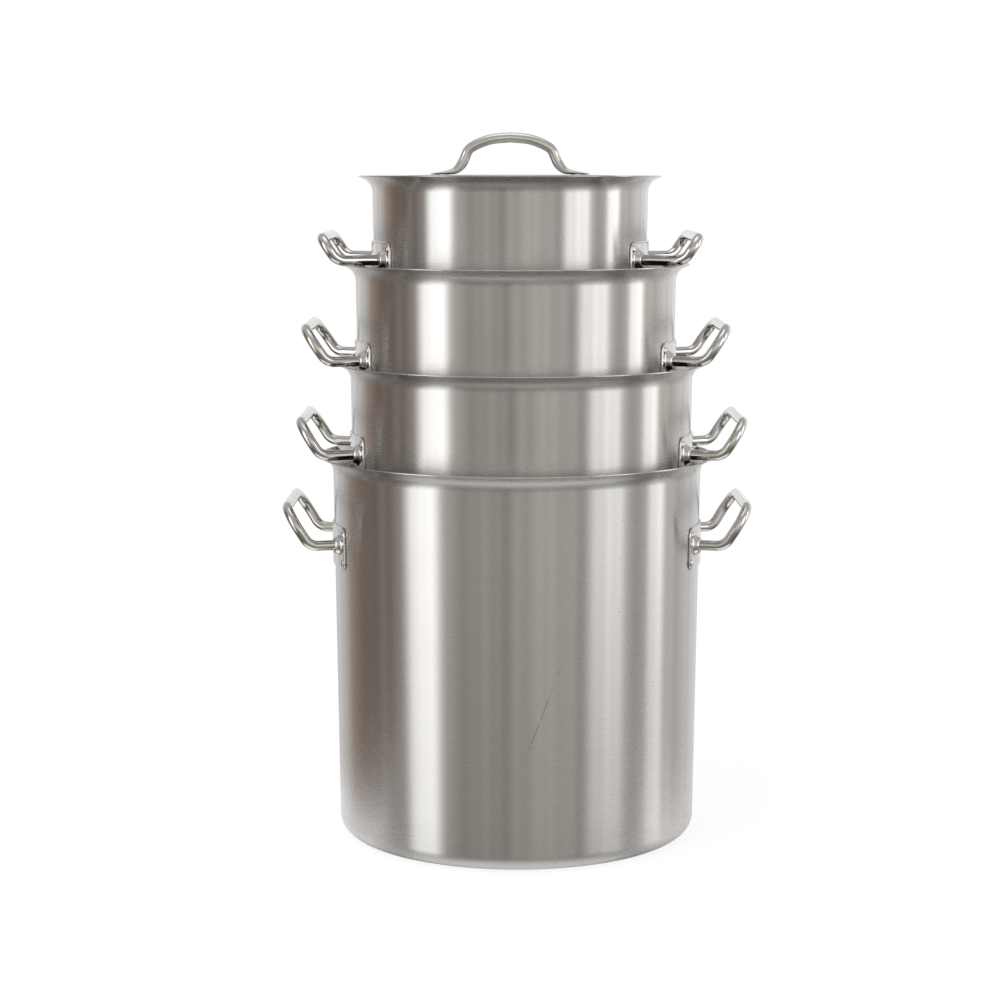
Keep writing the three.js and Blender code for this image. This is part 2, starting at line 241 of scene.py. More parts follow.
def in_scene(name, data):
    """A new object at the origin."""
    made = bpy.data.objects.new(name, data)
    bpy.context.scene.collection.objects.link(made)
    return made


def new_piece(name, points, faces, material, smooth=True):
    """A closed mesh with its doubles merged and its faces turned outwards."""
    mesh = bpy.data.meshes.new(name)
    mesh.from_pydata(points, [], faces)
    shaped = bmesh.new()
    shaped.from_mesh(mesh)
    bmesh.ops.remove_doubles(shaped, verts=shaped.verts, dist=MERGE_DISTANCE)
    bmesh.ops.recalc_face_normals(shaped, faces=shaped.faces)
    shaped.to_mesh(mesh)
    shaped.free()
    mesh.polygons.foreach_set("use_smooth", [smooth] * len(mesh.polygons))
    mesh.materials.append(material)
    return in_scene(name, mesh)


def settle(piece, body, slot, *nodes):
    """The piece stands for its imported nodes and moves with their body."""
    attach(piece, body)
    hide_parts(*nodes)


def skin_of(rings):
    """Faces between rings of as many points each, or of one point repeated."""
    faces = []
    for lower, upper in zip(rings, rings[1:]):
        for i in range(len(lower)):
            j = (i + 1) % len(lower)
            corners = (lower[i], lower[j], upper[j], upper[i])
            faces.append(tuple(dict.fromkeys(corners)))
    return faces


def spun(profile, centre_x, segments):
    """Points and faces of a form turned about an upright axis, from (radius, height) points."""
    points, rings = [], []
    for radius, height in profile:
        start = len(points)
        if radius < ON_AXIS:
            points.append((centre_x, 0.0, height))
            rings.append([start] * segments)
            continue
        for i in range(segments):
            turn = 2 * pi * i / segments
            points.append((centre_x + radius * cos(turn), radius * sin(turn), height))
        rings.append(list(range(start, start + segments)))
    return points, skin_of(rings)


def arc(centre, radius, start, end, steps):
    """Points (x, y) on a circle from one angle to another."""
    turns = [start + (end - start) * i / steps for i in range(steps + 1)]
    return [(centre[0] + radius * cos(t), centre[1] + radius * sin(t)) for t in turns]


def bend(start, heading, leaving, radius, steps):
    """Points on a circle from start, setting off along heading and ending along leaving."""
    side = (leaving - heading * heading.dot(leaving)).normalized()
    turns = [heading.angle(leaving) * i / steps for i in range(steps + 1)]
    return [start + (heading * sin(t) + side * (1 - cos(t))) * radius for t in turns]


def smooth_curve(knots, steps):
    """Points on a Catmull-Rom curve through knots of any number of values each."""

    def between(p, q, r, s, t):
        square, cube = 2 * p - 5 * q + 4 * r - s, 3 * q - p - 3 * r + s
        return 0.5 * (2 * q + (r - p) * t + square * t**2 + cube * t**3)

    ends = [knots[0], *knots, knots[-1]]
    made = []
    for four in zip(ends, ends[1:], ends[2:], ends[3:]):
        for i in range(steps):
            made.append(tuple(between(*values, i / steps) for values in zip(*four)))
    return made + [tuple(knots[-1])]


# Nodes


def linear(hex_value):
    """An sRGB hex colour as linear red, green, blue and alpha."""
    channels = [int(hex_value[i : i + 2], 16) / 255 for i in (1, 3, 5)]
    made = [c / 12.92 if c <= 0.04045 else ((c + 0.055) / 1.055) ** 2.4 for c in channels]
    return (*made, 1.0)


def node(tree, kind, inputs=None, **settings):
    """Adds a node with its settings, and sets its inputs or links them to sockets or nodes.

    A short kind is a shader node's, and a node as an input gives its first output.
    """
    made = tree.nodes.new(kind if "Node" in kind else f"ShaderNode{kind}")
    for key, value in settings.items():
        setattr(made, key, value)
    for key, value in (inputs or {}).items():
        if isinstance(value, bpy.types.Node):
            value = next(out for out in value.outputs if out.enabled)
        if isinstance(value, bpy.types.NodeSocket):
            tree.links.new(value, made.inputs[key])
        else:
            made.inputs[key].default_value = value
    return made


def start_nodes(owner):
    """Empties the nodes of a material or world, and gives the function that adds new ones."""
    owner.use_nodes = True
    owner.node_tree.nodes.clear()
    return partial(node, owner.node_tree)


def start_material(name):
    material = bpy.data.materials.new(name)
    return material, start_nodes(material)


# Marks of use on the sheet
SPECK_TONE = 0.84
SPECK_STRENGTH = 0.6
SPECK_CORE = 0.5
SCRATCH_STRENGTH = 0.55
SCRATCH_CORE = 0.4
SCRATCH_GAPS = 5 * MM
SCRATCH_DEPTH = 50 * MM


def kitchen_specks(add, place, finish):
    """Small dark specks, one in each cell whose random tone is light enough."""
    per_metre = 1 / finish.speck_cell
    near = finish.speck_size / finish.speck_cell / 2
    cells = add("TexVoronoi", {"Vector": place, "Scale": per_metre, "Randomness": 1.0})
    spot = {"From Min": near, "From Max": SPECK_CORE * near, "To Max": SPECK_STRENGTH}
    dot = add("MapRange", {"Value": cells.outputs["Distance"], **spot})
    tone = cells.outputs["Color"]
    rare = add("Math", {0: tone, 1: SPECK_TONE}, operation="GREATER_THAN")
    return add("Math", {0: dot, 1: rare}, operation="MULTIPLY")


def long_scratch(add, place, finish):
    """One long scratch on the front of the largest wall, broken into dashes."""
    turned = (0.0, finish.scratch_lean, 0.0)
    placed = {"Vector": place, "Location": finish.scratch_middle, "Rotation": turned}
    own = add("Mapping", placed, vector_type="TEXTURE")
    split = add("SeparateXYZ", {0: own}).outputs
    side = add("Math", {0: split["X"]}, operation="ABSOLUTE")
    along = add("Math", {0: split["Z"]}, operation="ABSOLUTE")
    breaks = add("TexNoise", {"Vector": place, "Scale": 1 / SCRATCH_GAPS, "Detail": 2.0})
    half, reach = finish.scratch_width / 2, finish.scratch_length
    made = SCRATCH_STRENGTH
    for value, start, end in (
        (side, half, SCRATCH_CORE * half),
        (along, reach / 2, SCRATCH_CORE * reach),
        (breaks.outputs["Fac"], 0.36, 0.52),
    ):
        fade = add("MapRange", {"Value": value, "From Min": start, "From Max": end})
        made = add("Math", {0: made, 1: fade}, operation="MULTIPLY")
    front = add("Math", {0: split["Y"], 1: SCRATCH_DEPTH}, operation="LESS_THAN")
    return add("Math", {0: made, 1: front}, operation="MULTIPLY")


# How strongly brush lines and clouds show in the sheet's tone and gloss
BRUSH_CONTRAST = 0.7
BRUSH_FLOOR = 0.15
CLOUD_DULLNESS = 0.04
BRUSH_DEPTH = 0.2 * MM


def brushed_stainless_sheet(name, finish):
    """Spun stainless sheet, brushed round the wall: mirror-like along its lines, dull across."""
    material, add = start_material(name)
    place = add("TexCoord").outputs["Object"]
    along = 1 / finish.brush_length
    scale = (along, along, 1 / finish.brush_spacing)
    lines = add("Mapping", {"Vector": place, "Scale": scale})
    fine = {"Scale": 1.0, "Detail": 4.0, "Roughness": 0.65}
    brush = add("TexNoise", {"Vector": lines, **fine}).outputs["Fac"]
    cloudy = {"Scale": 14.0, "Detail": 2.0, "Roughness": 0.5}
    clouds = add("TexNoise", {"Vector": place, **cloudy}).outputs["Fac"]
    tone = add("Math", {0: brush, 1: BRUSH_CONTRAST, 2: BRUSH_FLOOR}, operation="MULTIPLY_ADD")
    light, dark = linear(finish.sheet_light), linear(finish.sheet_dark)
    shade = add("Mix", {"Factor": tone, "A": dark, "B": light}, data_type="RGBA")
    specks, scratch = kitchen_specks(add, place, finish), long_scratch(add, place, finish)
    marks = add("Math", {0: specks, 1: scratch}, operation="MAXIMUM")
    marked = add("Mix", {"Factor": marks, "A": shade, "B": linear(finish.speck)}, data_type="RGBA")
    span = {"From Min": 0.3, "From Max": 0.7, "To Min": 0.24, "To Max": 0.27}
    dullness = add("MapRange", {"Value": brush, **span})
    patches = add("Math", {0: clouds, 1: CLOUD_DULLNESS, 2: dullness}, operation="MULTIPLY_ADD")
    relief = add("Bump", {"Height": brush, "Strength": 0.016, "Distance": BRUSH_DEPTH})
    round_wall = add("Tangent", direction_type="RADIAL", axis="Z")
    metal = {"Base Color": marked, "Metallic": 1.0, "Roughness": patches, "Normal": relief}
    brushing = {"Anisotropic": 1.0, "Anisotropic Rotation": 0.25, "Tangent": round_wall}
    steel = add("BsdfPrincipled", {**metal, **brushing})
    add("OutputMaterial", {"Surface": steel})
    return material


# Dull patches are this many times as fine as the waves; under 1 they are broader
PATCH_FINENESS = 0.4


def worn_stainless(name, light, dark, gloss, grain, depth):
    """Stainless bar or pressing: a bright polish, dulled in patches and wavy from its forming."""
    material, add = start_material(name)
    place = add("TexCoord").outputs["Object"]
    broad = {"Scale": PATCH_FINENESS / grain, "Detail": 3.0, "Roughness": 0.6}
    patches = add("TexNoise", {"Vector": place, **broad}).outputs["Fac"]
    wavy = {"Scale": 1 / grain, "Detail": 2.0, "Roughness": 0.5}
    waves = add("TexNoise", {"Vector": place, **wavy}).outputs["Fac"]
    shade = add("Mix", {"Factor": patches, "A": linear(dark), "B": linear(light)}, data_type="RGBA")
    span = {"From Min": 0.35, "From Max": 0.7, "To Min": gloss[0], "To Max": gloss[1]}
    dullness = add("MapRange", {"Value": patches, **span})
    relief = add("Bump", {"Height": waves, "Strength": 0.5, "Distance": depth})
    metal = {"Base Color": shade, "Metallic": 1.0, "Roughness": dullness, "Normal": relief}
    steel = add("BsdfPrincipled", metal)
    add("OutputMaterial", {"Surface": steel})
    return material


# Bars and brackets: the roughness between which they vary, and the width and depth of their waves
WORN_PIECES = {
    "polished stainless bar": ("bar", (0.06, 0.13), 14 * MM, 0.015 * MM),
    "pressed stainless bracket": ("bracket", (0.09, 0.2), 5 * MM, 0.2 * MM),
}


def finish_named(nest, name):
    """The nest's materials, each made when it is first asked for."""
    if name in bpy.data.materials:
        return bpy.data.materials[name]
    if name == "brushed stainless sheet":
        return brushed_stainless_sheet(name, nest.finish)
    piece, gloss, grain, depth = WORN_PIECES[name]
    light, dark = [getattr(nest.finish, f"{piece}_{tone}") for tone in ("light", "dark")]
    return worn_stainless(name, light, dark, gloss, grain, depth)


# Shapes made by Geometry Nodes


def shaped_by(piece, tree, values):
    """Runs a Geometry Nodes tree on a piece and keeps the result as a plain mesh."""
    modifier = piece.modifiers.new("shape", "NODES")
    modifier.node_group = tree
    for item in tree.interface.items_tree:
        if item.item_type == "SOCKET" and item.in_out == "INPUT" and item.name in values:
            modifier[item.identifier] = values[item.name]
    bpy.context.view_layer.update()
    evaluated = piece.evaluated_get(bpy.context.evaluated_depsgraph_get())
    shaped = bpy.data.meshes.new_from_object(evaluated)
    piece.modifiers.clear()
    piece.data = shaped
    if not shaped.polygons:
        raise RuntimeError(f"{piece.name} came out empty")


def start_shape(name, *inputs):
    """A Geometry Nodes tree with its adding function and its inputs: a geometry and the named."""
    tree = bpy.data.node_groups.new(name, "GeometryNodeTree")
    tree.interface.new_socket("Geometry", in_out="INPUT", socket_type="NodeSocketGeometry")
    for label, kind in inputs:
        tree.interface.new_socket(label, in_out="INPUT", socket_type=kind)
    tree.interface.new_socket("Geometry", in_out="OUTPUT", socket_type="NodeSocketGeometry")
    add = partial(node, tree)
    return tree, add, add("NodeGroupInput").outputs


def end_shape(add, geometry, material):
    """Real, smooth and painted geometry out."""
    real = add("GeometryNodeRealizeInstances", {"Geometry": geometry})
    soft = add("GeometryNodeSetShadeSmooth", {"Geometry": real})
    painted = add("GeometryNodeSetMaterial", {"Geometry": soft, "Material": material})
    add("NodeGroupOutput", {"Geometry": painted})


def bent_bar_shape():
    """A round bar along a path of edges, with closed ends."""
    name = "bent round bar"
    if name in bpy.data.node_groups:
        return bpy.data.node_groups[name]
    sizes = (("Diameter", "NodeSocketFloat"), ("Sides", "NodeSocketInt"))
    tree, add, given = start_shape(name, *sizes, ("Finish", "NodeSocketMaterial"))
    path = add("GeometryNodeMeshToCurve", {"Mesh": given["Geometry"]})
    radius = add("Math", {0: given["Diameter"], 1: 0.5}, operation="MULTIPLY")
    section = add(
        "GeometryNodeCurvePrimitiveCircle", {"Resolution": given["Sides"], "Radius": radius}
    )
    bar = add(
        "GeometryNodeCurveToMesh", {"Curve": path, "Profile Curve": section, "Fill Caps": True}
    )
    end_shape(add, bar, given["Finish"])
    return tree


def rivet_row_shape():
    """A rivet at each point, with its head towards the point's outward direction."""
    name = "rivets on points"
    if name in bpy.data.node_groups:
        return bpy.data.node_groups[name]
    labels = ("Head", "Head Height", "Shank", "Grip", "Tail", "Tail Height")
    sizes = [(label, "NodeSocketFloat") for label in labels]
    tree, add, given = start_shape(name, *sizes, ("Finish", "NodeSocketMaterial"))
    ball = add("GeometryNodeMeshUVSphere", {"Segments": 24, "Rings": 12, "Radius": 0.5})
    half = add("Math", {0: given["Shank"], 1: 0.5}, operation="MULTIPLY")
    rod = add("GeometryNodeMeshCylinder", {"Vertices": 20, "Radius": half, "Depth": given["Grip"]})
    parts = []
    for width, height, grips_down in (("Head", "Head Height", 0.0), ("Tail", "Tail Height", -1.0)):
        tall = add("Math", {0: given[height], 1: 2.0}, operation="MULTIPLY")
        scale = add("CombineXYZ", {0: given[width], 1: given[width], 2: tall})
        parts.append((ball, grips_down, {"Scale": scale}))
    parts.append((rod, -0.5, {}))
    rivet = add("GeometryNodeJoinGeometry")
    for form, grips_down, size in parts:
        drop = add("Math", {0: given["Grip"], 1: grips_down}, operation="MULTIPLY")
        place = add("CombineXYZ", {2: drop})
        part = add("GeometryNodeTransform", {"Geometry": form, "Translation": place, **size})
        tree.links.new(part.outputs[0], rivet.inputs[0])
    facing = add("GeometryNodeInputNamedAttribute", {"Name": "outward"}, data_type="FLOAT_VECTOR")
    turn = add("FunctionNodeAlignRotationToVector", {"Vector": facing}, axis="Z")
    placed = add(
        "GeometryNodeInstanceOnPoints",
        {"Points": given["Geometry"], "Instance": rivet, "Rotation": turn},
    )
    end_shape(add, placed, given["Finish"])
    return tree


def set_rivets(nest, name, body, spots, grip, tail, tail_height):
    """One piece of rivets at spots: each a place, the direction its head faces and its node."""
    places, directions, nodes = zip(*spots)
    mesh = bpy.data.meshes.new(name)
    mesh.from_pydata([tuple(p) for p in places], [], [])
    outward = mesh.attributes.new("outward", "FLOAT_VECTOR", "POINT")
    for i, direction in enumerate(directions):
        outward.data[i].vector = direction
    piece = in_scene(name, mesh)
    values = {
        "Head": nest.rivet.head,
        "Head Height": nest.rivet.head_height,
        "Shank": nest.rivet.shank,
        "Grip": grip,
        "Tail": tail,
        "Tail Height": tail_height,
        "Finish": finish_named(nest, "polished stainless bar"),
    }
    shaped_by(piece, rivet_row_shape(), values)
    settle(piece, body, "polished_bar", *nodes)


# Operators

# A shell's profile: its divisions, and rings on its base and lip as shares of their lengths
CORNER_STEPS = 12
WALL_STEPS = 10
FLARE_STEPS = 18
EDGE_STEPS = 6
BASE_RING = 0.5
LIP_RINGS = (0.35, 0.7, 0.96)
# The ring that keeps the base flat up to its corner, and the form of the sheet's cut edge
CORNER_LEAD = 1.5 * MM
EDGE_SQUARENESS = 0.6
EDGE_DEPTH = 0.35


class STOCKPOTS_OT_shells(Operator):
    """Spin the four shells, each with its rounded base corner and flared lip"""

    bl_idname = "stockpots.shells"
    bl_label = "Pot Shells"

    def execute(self, context):
        nest = context.scene.stockpots
        steel = finish_named(nest, "brushed stainless sheet")
        for name in POTS:
            pot = PotPlace(nest, name)
            outside = self.outline(nest.shell, pot, 0.0)
            inside = self.outline(nest.shell, pot, nest.shell.sheet)
            profile = outside + self.raw_edge(outside[-1], inside[-1]) + inside[::-1]
            points, faces = spun(profile, pot.x, nest.shell.segments)
            piece = new_piece(f"{name}_shell", points, faces, steel)
            settle(piece, pot.body, "brushed_sheet", f"{name}_pot_shell")
        return {"FINISHED"}

    def outline(self, shell, pot, offset):
        """From the base's middle out, up the wall and along the flare, offset inwards."""
        corner_z = pot.base + shell.corner
        flat = pot.wall_at(corner_z) - shell.corner
        base = pot.base + offset
        corner = shell.corner - offset
        made = [(0.0, base), (BASE_RING * flat, base), (flat - CORNER_LEAD, base)]
        made += arc((flat, corner_z), corner, -pi / 2, -shell.draft, CORNER_STEPS)
        low, high = made[-1], (pot.wall - offset, pot.wall_top)
        for i in range(1, WALL_STEPS):
            made.append(tuple(a + (b - a) * i / WALL_STEPS for a, b in zip(low, high)))
        centre = (pot.wall + shell.lip_radius, pot.wall_top)
        flare = shell.lip_radius + offset
        made += arc(centre, flare, pi, pi - shell.lip_sweep, FLARE_STEPS)
        end = made[-1]
        out, up = sin(shell.lip_sweep), cos(shell.lip_sweep)
        for share in LIP_RINGS:
            run = share * shell.lip_flat
            made.append((end[0] + run * out, end[1] + run * up))
        return made

    def raw_edge(self, under, over):
        """The cut edge of the sheet, a little rounded, from the lip's underside to its top."""
        middle = ((under[0] + over[0]) / 2, (under[1] + over[1]) / 2)
        half = math.dist(under, middle)
        down = ((under[0] - middle[0]) / half, (under[1] - middle[1]) / half)
        made = []
        for i in range(1, EDGE_STEPS):
            cosine, sine = cos(pi * i / EDGE_STEPS), sin(pi * i / EDGE_STEPS)
            across = math.copysign(abs(cosine) ** EDGE_SQUARENESS, cosine) * half
            ahead = sine**EDGE_SQUARENESS * EDGE_DEPTH * half
            x = middle[0] + across * down[0] - ahead * down[1]
            made.append((x, middle[1] + across * down[1] + ahead * down[0]))
        return made


# Divisions of a bracket, and its rolled edge: how wide it is and how much of the sheet stays
PLATE_COLUMNS = 168
PLATE_ROWS = 52
PLATE_ROLL = 1.3 * MM
PLATE_RIM = 0.25


class STOCKPOTS_OT_brackets(Operator):
    """Press the brackets: curved plates with two bosses each, which hold the handle bars"""

    bl_idname = "stockpots.brackets"
    bl_label = "Handle Brackets"

    def execute(self, context):
        nest = context.scene.stockpots
        steel = finish_named(nest, "pressed stainless bracket")
        faces = self.faces()
        for name in POTS:
            pot = PotPlace(nest, name)
            for side, sign in SIDES.items():
                points = self.pressing(nest.handle, pot, sign)
                piece = new_piece(f"{name}_{side}_bracket_plate", points, faces, steel)
                settle(piece, pot.body, "polished_bar", f"{name}_pot_{side}_bracket")
        return {"FINISHED"}

    def pressing(self, handle, pot, sign):
        """Points over the wall: a front with rolled edges and bosses, then a flat back."""
        half_width, half_height = handle.plate_width / 2, handle.plate_height / 2
        corner = handle.plate_corner
        front, back = [], []
        for j in range(PLATE_ROWS + 1):
            up = (2 * j / PLATE_ROWS - 1) * half_height
            past = max(abs(up) - (half_height - corner), 0.0)
            width = half_width - corner + math.sqrt(max(corner**2 - past**2, 0.0))
            z = pot.plate_middle + up
            wall = pot.wall_at(z) + handle.clearance
            for i in range(PLATE_COLUMNS + 1):
                s = (2 * i / PLATE_COLUMNS - 1) * width
                theta = s / pot.wall
                edge = max(min(width - abs(s), half_height - abs(up)), 0.0)
                rolled = math.sqrt(1 - (1 - min(edge / PLATE_ROLL, 1.0)) ** 2)
                skin = wall + handle.plate * (PLATE_RIM + (1 - PLATE_RIM) * rolled)
                reach = math.hypot((abs(theta) - pot.leg_turn) * wall, z - pot.leg)
                share = (handle.boss_root - reach) / (handle.boss_root - handle.boss_top)
                share = min(max(share, 0.0), 1.0)
                share = share * share * (3 - 2 * share)
                skin += share * (pot.wall + handle.boss_reach - skin)
                for face, radius in ((front, skin), (back, wall)):
                    out, along = sign * radius * cos(theta), sign * radius * sin(theta)
                    face.append((pot.x + out, along, z))
        return front + back

    def faces(self):
        """Squares of the front and the back, and the strip between them round the rim."""
        stride = PLATE_COLUMNS + 1
        count = stride * (PLATE_ROWS + 1)
        faces = []
        for j in range(PLATE_ROWS):
            for a in range(j * stride, j * stride + PLATE_COLUMNS):
                square = (a, a + 1, a + 1 + stride, a + stride)
                faces.append(square)
                faces.append(tuple(count + k for k in reversed(square)))
        rim = list(range(stride))
        rim += [j * stride + PLATE_COLUMNS for j in range(1, PLATE_ROWS + 1)]
        rim += [PLATE_ROWS * stride + i for i in range(PLATE_COLUMNS - 1, -1, -1)]
        rim += [j * stride for j in range(PLATE_ROWS - 1, 0, -1)]
        for a, b in zip(rim, rim[1:] + rim[:1]):
            faces.append((b, a, count + a, count + b))
        return faces


# Divisions of the bars: round them, in a leg's bend, a grip's corner and the arch, along a climb
BAR_SIDES = 28
LEG_STEPS = 14
GRIP_STEPS = 18
ARCH_STEPS = 7
CLIMB_SHARES = (0.33, 0.67)


class STOCKPOTS_OT_handles(Operator):
    """Bend the side handle bars: out of the bracket, up at a slant, across and back"""

    bl_idname = "stockpots.handles"
    bl_label = "Handle Bars"

    def execute(self, context):
        nest = context.scene.stockpots
        steel = finish_named(nest, "polished stainless bar")
        values = {"Diameter": nest.handle.bar, "Sides": BAR_SIDES, "Finish": steel}
        for name in POTS:
            pot = PotPlace(nest, name)
            for side, sign in SIDES.items():
                path = self.bar_path(nest.handle, pot, sign)
                mesh = bpy.data.meshes.new(f"{name}_{side}_bar_path")
                mesh.from_pydata(path, [(i, i + 1) for i in range(len(path) - 1)], [])
                piece = in_scene(f"{name}_{side}_bar", mesh)
                shaped_by(piece, bent_bar_shape(), values)
                settle(piece, pot.body, "polished_bar", f"{name}_pot_{side}_handle")
        return {"FINISHED"}

    def bar_path(self, handle, pot, sign):
        """One half of the bar's middle line, then its mirror image."""
        own = pot.own
        outward = Vector((cos(pot.leg_turn), -sin(pot.leg_turn), 0.0))
        across = Vector((0.0, 1.0, 0.0))
        climb = outward * cos(own.leg_bend) + Vector((0.0, 0.0, sin(own.leg_bend)))
        bend_rise = handle.bend * (1 - cos(own.leg_bend))
        climb_all = (own.grip_rise - bend_rise) / sin(own.leg_bend)
        corner_lead = math.tan(climb.angle(across) / 2)
        corner = min(handle.corner, handle.corner_share * climb_all / corner_lead)
        level = Vector((0.0, 0.0, pot.leg))
        start = level + outward * (pot.wall_at(pot.leg) + handle.socket_floor)
        foot = level + outward * (pot.wall + own.leg_run)
        line = [start, start.lerp(foot, 0.5)]
        line += bend(foot, outward, climb, handle.bend, LEG_STEPS)
        foot = line[-1]
        top = foot + climb * (climb_all - corner * corner_lead)
        line += [foot.lerp(top, share) for share in CLIMB_SHARES]
        line += bend(top, climb, across, corner, GRIP_STEPS)
        line.append(line[-1].lerp(Vector((line[-1].x, 0.0, line[-1].z)), 0.5))
        line += [Vector((p.x, -p.y, p.z)) for p in reversed(line)]
        return [(pot.x + sign * p.x, sign * p.y, p.z) for p in line]


class STOCKPOTS_OT_rivets(Operator):
    """Set the rivets that hold each bracket to its wall"""

    bl_idname = "stockpots.rivets"
    bl_label = "Bracket Rivets"

    def execute(self, context):
        nest = context.scene.stockpots
        rivet, handle = nest.rivet, nest.handle
        grip = handle.plate + handle.clearance + nest.shell.sheet
        for name in POTS:
            pot = PotPlace(nest, name)
            turn = rivet.across / pot.wall
            spots = []
            for side, sign in SIDES.items():
                for facing, front in (("front", -1), ("back", 1)):
                    for level, up in (("top", 0.5), ("bottom", -0.5)):
                        z = pot.plate_middle + up * rivet.pitch
                        seat = pot.wall_at(z) + handle.clearance + handle.plate
                        way = Vector((sign * cos(turn), front * sin(turn), 0.0))
                        place = Vector((pot.x, 0.0, z)) + way * seat
                        spots.append((place, way, f"{name}_pot_{side}_rivet_{facing}_{level}"))
            tail, height = rivet.tail, rivet.tail_height
            set_rivets(nest, f"{name}_rivets", pot.body, spots, grip, tail, height)
        return {"FINISHED"}


# The lid's profile: its soft breaks' half width, drop and rise, its rolled edge and a ring
LID_BREAK = 6 * MM
LID_DROP = 0.3 * MM
LID_RISE = 0.25 * MM
LID_ROLL = 0.35 * MM
LID_ROLL_SHARE = 0.3
LID_RING = 0.6


class STOCKPOTS_OT_lid(Operator):
    """Make the lid's plate, which lies in the small pot's flare"""

    bl_idname = "stockpots.lid"
    bl_label = "Lid Plate"

    def execute(self, context):
        nest = context.scene.stockpots
        flat, sheet = nest.lid.flat, nest.lid.sheet
        pot = PotPlace(nest, "small")
        low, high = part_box("lid_plate")
        edge = (high[0] - low[0]) / 2
        top, lower = high[2], low[2]
        skin = [
            (flat - LID_BREAK, top),
            (flat + LID_BREAK, top - LID_DROP),
            (edge - LID_BREAK, lower + sheet + LID_RISE),
            (edge - LID_ROLL, lower + sheet),
        ]
        soft = LID_ROLL_SHARE * LID_ROLL
        profile = [(0.0, top), (LID_RING * flat, top), *skin]
        profile += [(edge - soft, lower + sheet - soft), (edge, lower + sheet / 2)]
        profile += [(edge - soft, lower + soft)]
        profile += [(radius, z - sheet) for radius, z in reversed(skin)] + [(0.0, top - sheet)]
        points, faces = spun(profile, pot.x, nest.shell.segments)
        steel = finish_named(nest, "brushed stainless sheet")
        piece = new_piece("lid_plate_sheet", points, faces, steel)
        settle(piece, "lid", "brushed_sheet", "lid_plate")
        return {"FINISHED"}


class STOCKPOTS_OT_lid_handle(Operator):
    """Bend the lid's arched bar and flatten its two feet"""

    bl_idname = "stockpots.lid_handle"
    bl_label = "Lid Handle"

    def execute(self, context):
        nest = context.scene.stockpots
        pot = PotPlace(nest, "small")
        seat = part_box("lid_plate")[1][2] + nest.handle.clearance
        sections = self.sections(nest.lid, seat)
        last = len(sections) - 1
        points, rings = [], []
        for i, (x, z, tall, wide) in enumerate(sections):
            before, after = sections[max(i - 1, 0)], sections[min(i + 1, last)]
            along = Vector((after[0] - before[0], 0.0, after[1] - before[1])).normalized()
            up = Vector((-along.z, 0.0, along.x))
            rings.append(range(len(points), len(points) + BAR_SIDES))
            for k in range(BAR_SIDES):
                turn = 2 * pi * k / BAR_SIDES
                p = Vector((pot.x + x, wide * cos(turn), z)) + up * tall * sin(turn)
                points.append((p.x, p.y, max(p.z, seat)))
        faces = [*skin_of(rings), tuple(rings[0]), tuple(reversed(rings[-1]))]
        steel = finish_named(nest, "polished stainless bar")
        piece = new_piece("lid_arch", points, faces, steel)
        settle(piece, "lid", "polished_bar", "lid_handle")
        return {"FINISHED"}

    def sections(self, lid, seat):
        """Middle line, half height and half width of the bar from foot to foot, in metres."""
        half = lid.arch_bar / 2 / MM
        tip = lid.foot_end / MM
        knots = [
            (tip, 0.55, 0.5, 2.5),
            (tip - 1.5, 0.7, 0.7, 5.2),
            (tip - 5.0, 1.0, 1.0, 6.7),
            (tip - 11.0, 1.5, 1.5, 7.0),
            (tip - 17.0, 2.3, 2.2, 6.4),
            (tip - 22.0, 4.0, 3.4, 5.2),
            (tip - 26.8, 9.0, half, half + 0.2),
            (tip - 29.9, 15.1, half, half),
            (tip - 31.9, 19.8, half, half),
            (tip - 35.2, 23.3, half, half),
            (tip - 42.3, 27.0, half, half),
            (tip - 53.3, 30.5, half, half),
            (0.0, 32.0, half, half),
        ]
        right = []
        for x, z, tall, wide in smooth_curve(knots, ARCH_STEPS):
            right.append((x * MM, seat + z * MM, tall * MM, wide * MM))
        return right + [(-x, z, tall, wide) for x, z, tall, wide in reversed(right[:-1])]


# How far a lid rivet's shank reaches into a foot, and how far its end stands up in it
FOOT_REACH = 1.2 * MM
FOOT_END = 0.3 * MM


class STOCKPOTS_OT_lid_rivets(Operator):
    """Set the lid's rivets: heads under the lid, ends flush with the feet"""

    bl_idname = "stockpots.lid_rivets"
    bl_label = "Lid Rivets"

    def execute(self, context):
        nest = context.scene.stockpots
        lid = nest.lid
        pot = PotPlace(nest, "small")
        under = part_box("lid_plate")[1][2] - lid.sheet
        spots = []
        for side, sign in SIDES.items():
            for where, reach in (("outer", lid.rivet_outer), ("inner", lid.rivet_inner)):
                place = Vector((pot.x + sign * reach, 0.0, under))
                spots.append((place, Vector((0, 0, -1)), f"lid_rivet_{side}_{where}"))
        grip = lid.sheet + nest.handle.clearance + FOOT_REACH
        set_rivets(nest, "lid_rivets", "lid", spots, grip, nest.rivet.shank, FOOT_END)
        return {"FINISHED"}


# Studio sizes in metres
FLOOR_HALF = 6.0
FLOOR_BELOW = 0.2 * MM
PAPER_ROUND_FADE = (0.2, 0.33)
PAPER_FRONT_FADE = (-0.08, -0.15)
ROOM_FLOOR = -3.0
ROOM_CEILING = 3.4
ROOM_RINGS = (-1.5, 0.0, 1.5)
ROOM_SEGMENTS = 96
LAMP_SIZE = 2.4
LAMP_PLACE = (-1.2, -1.4, 2.8)
LAMP_AIM = (0.0, 0.0, 0.2)
CAMERA_FAR = 50.0

# Studio light: the paper and its own glow, the world's light on it, the lamp and the cards' folds
WHITE = (1.0, 1.0, 1.0, 1.0)
PAPER = (0.9, 0.9, 0.9, 1.0)
PAPER_GLOW = 0.88
WORLD_ON_FLOOR = 1.2
LAMP_WATTS = 40.0
FOLDS_ROUND = 55.0

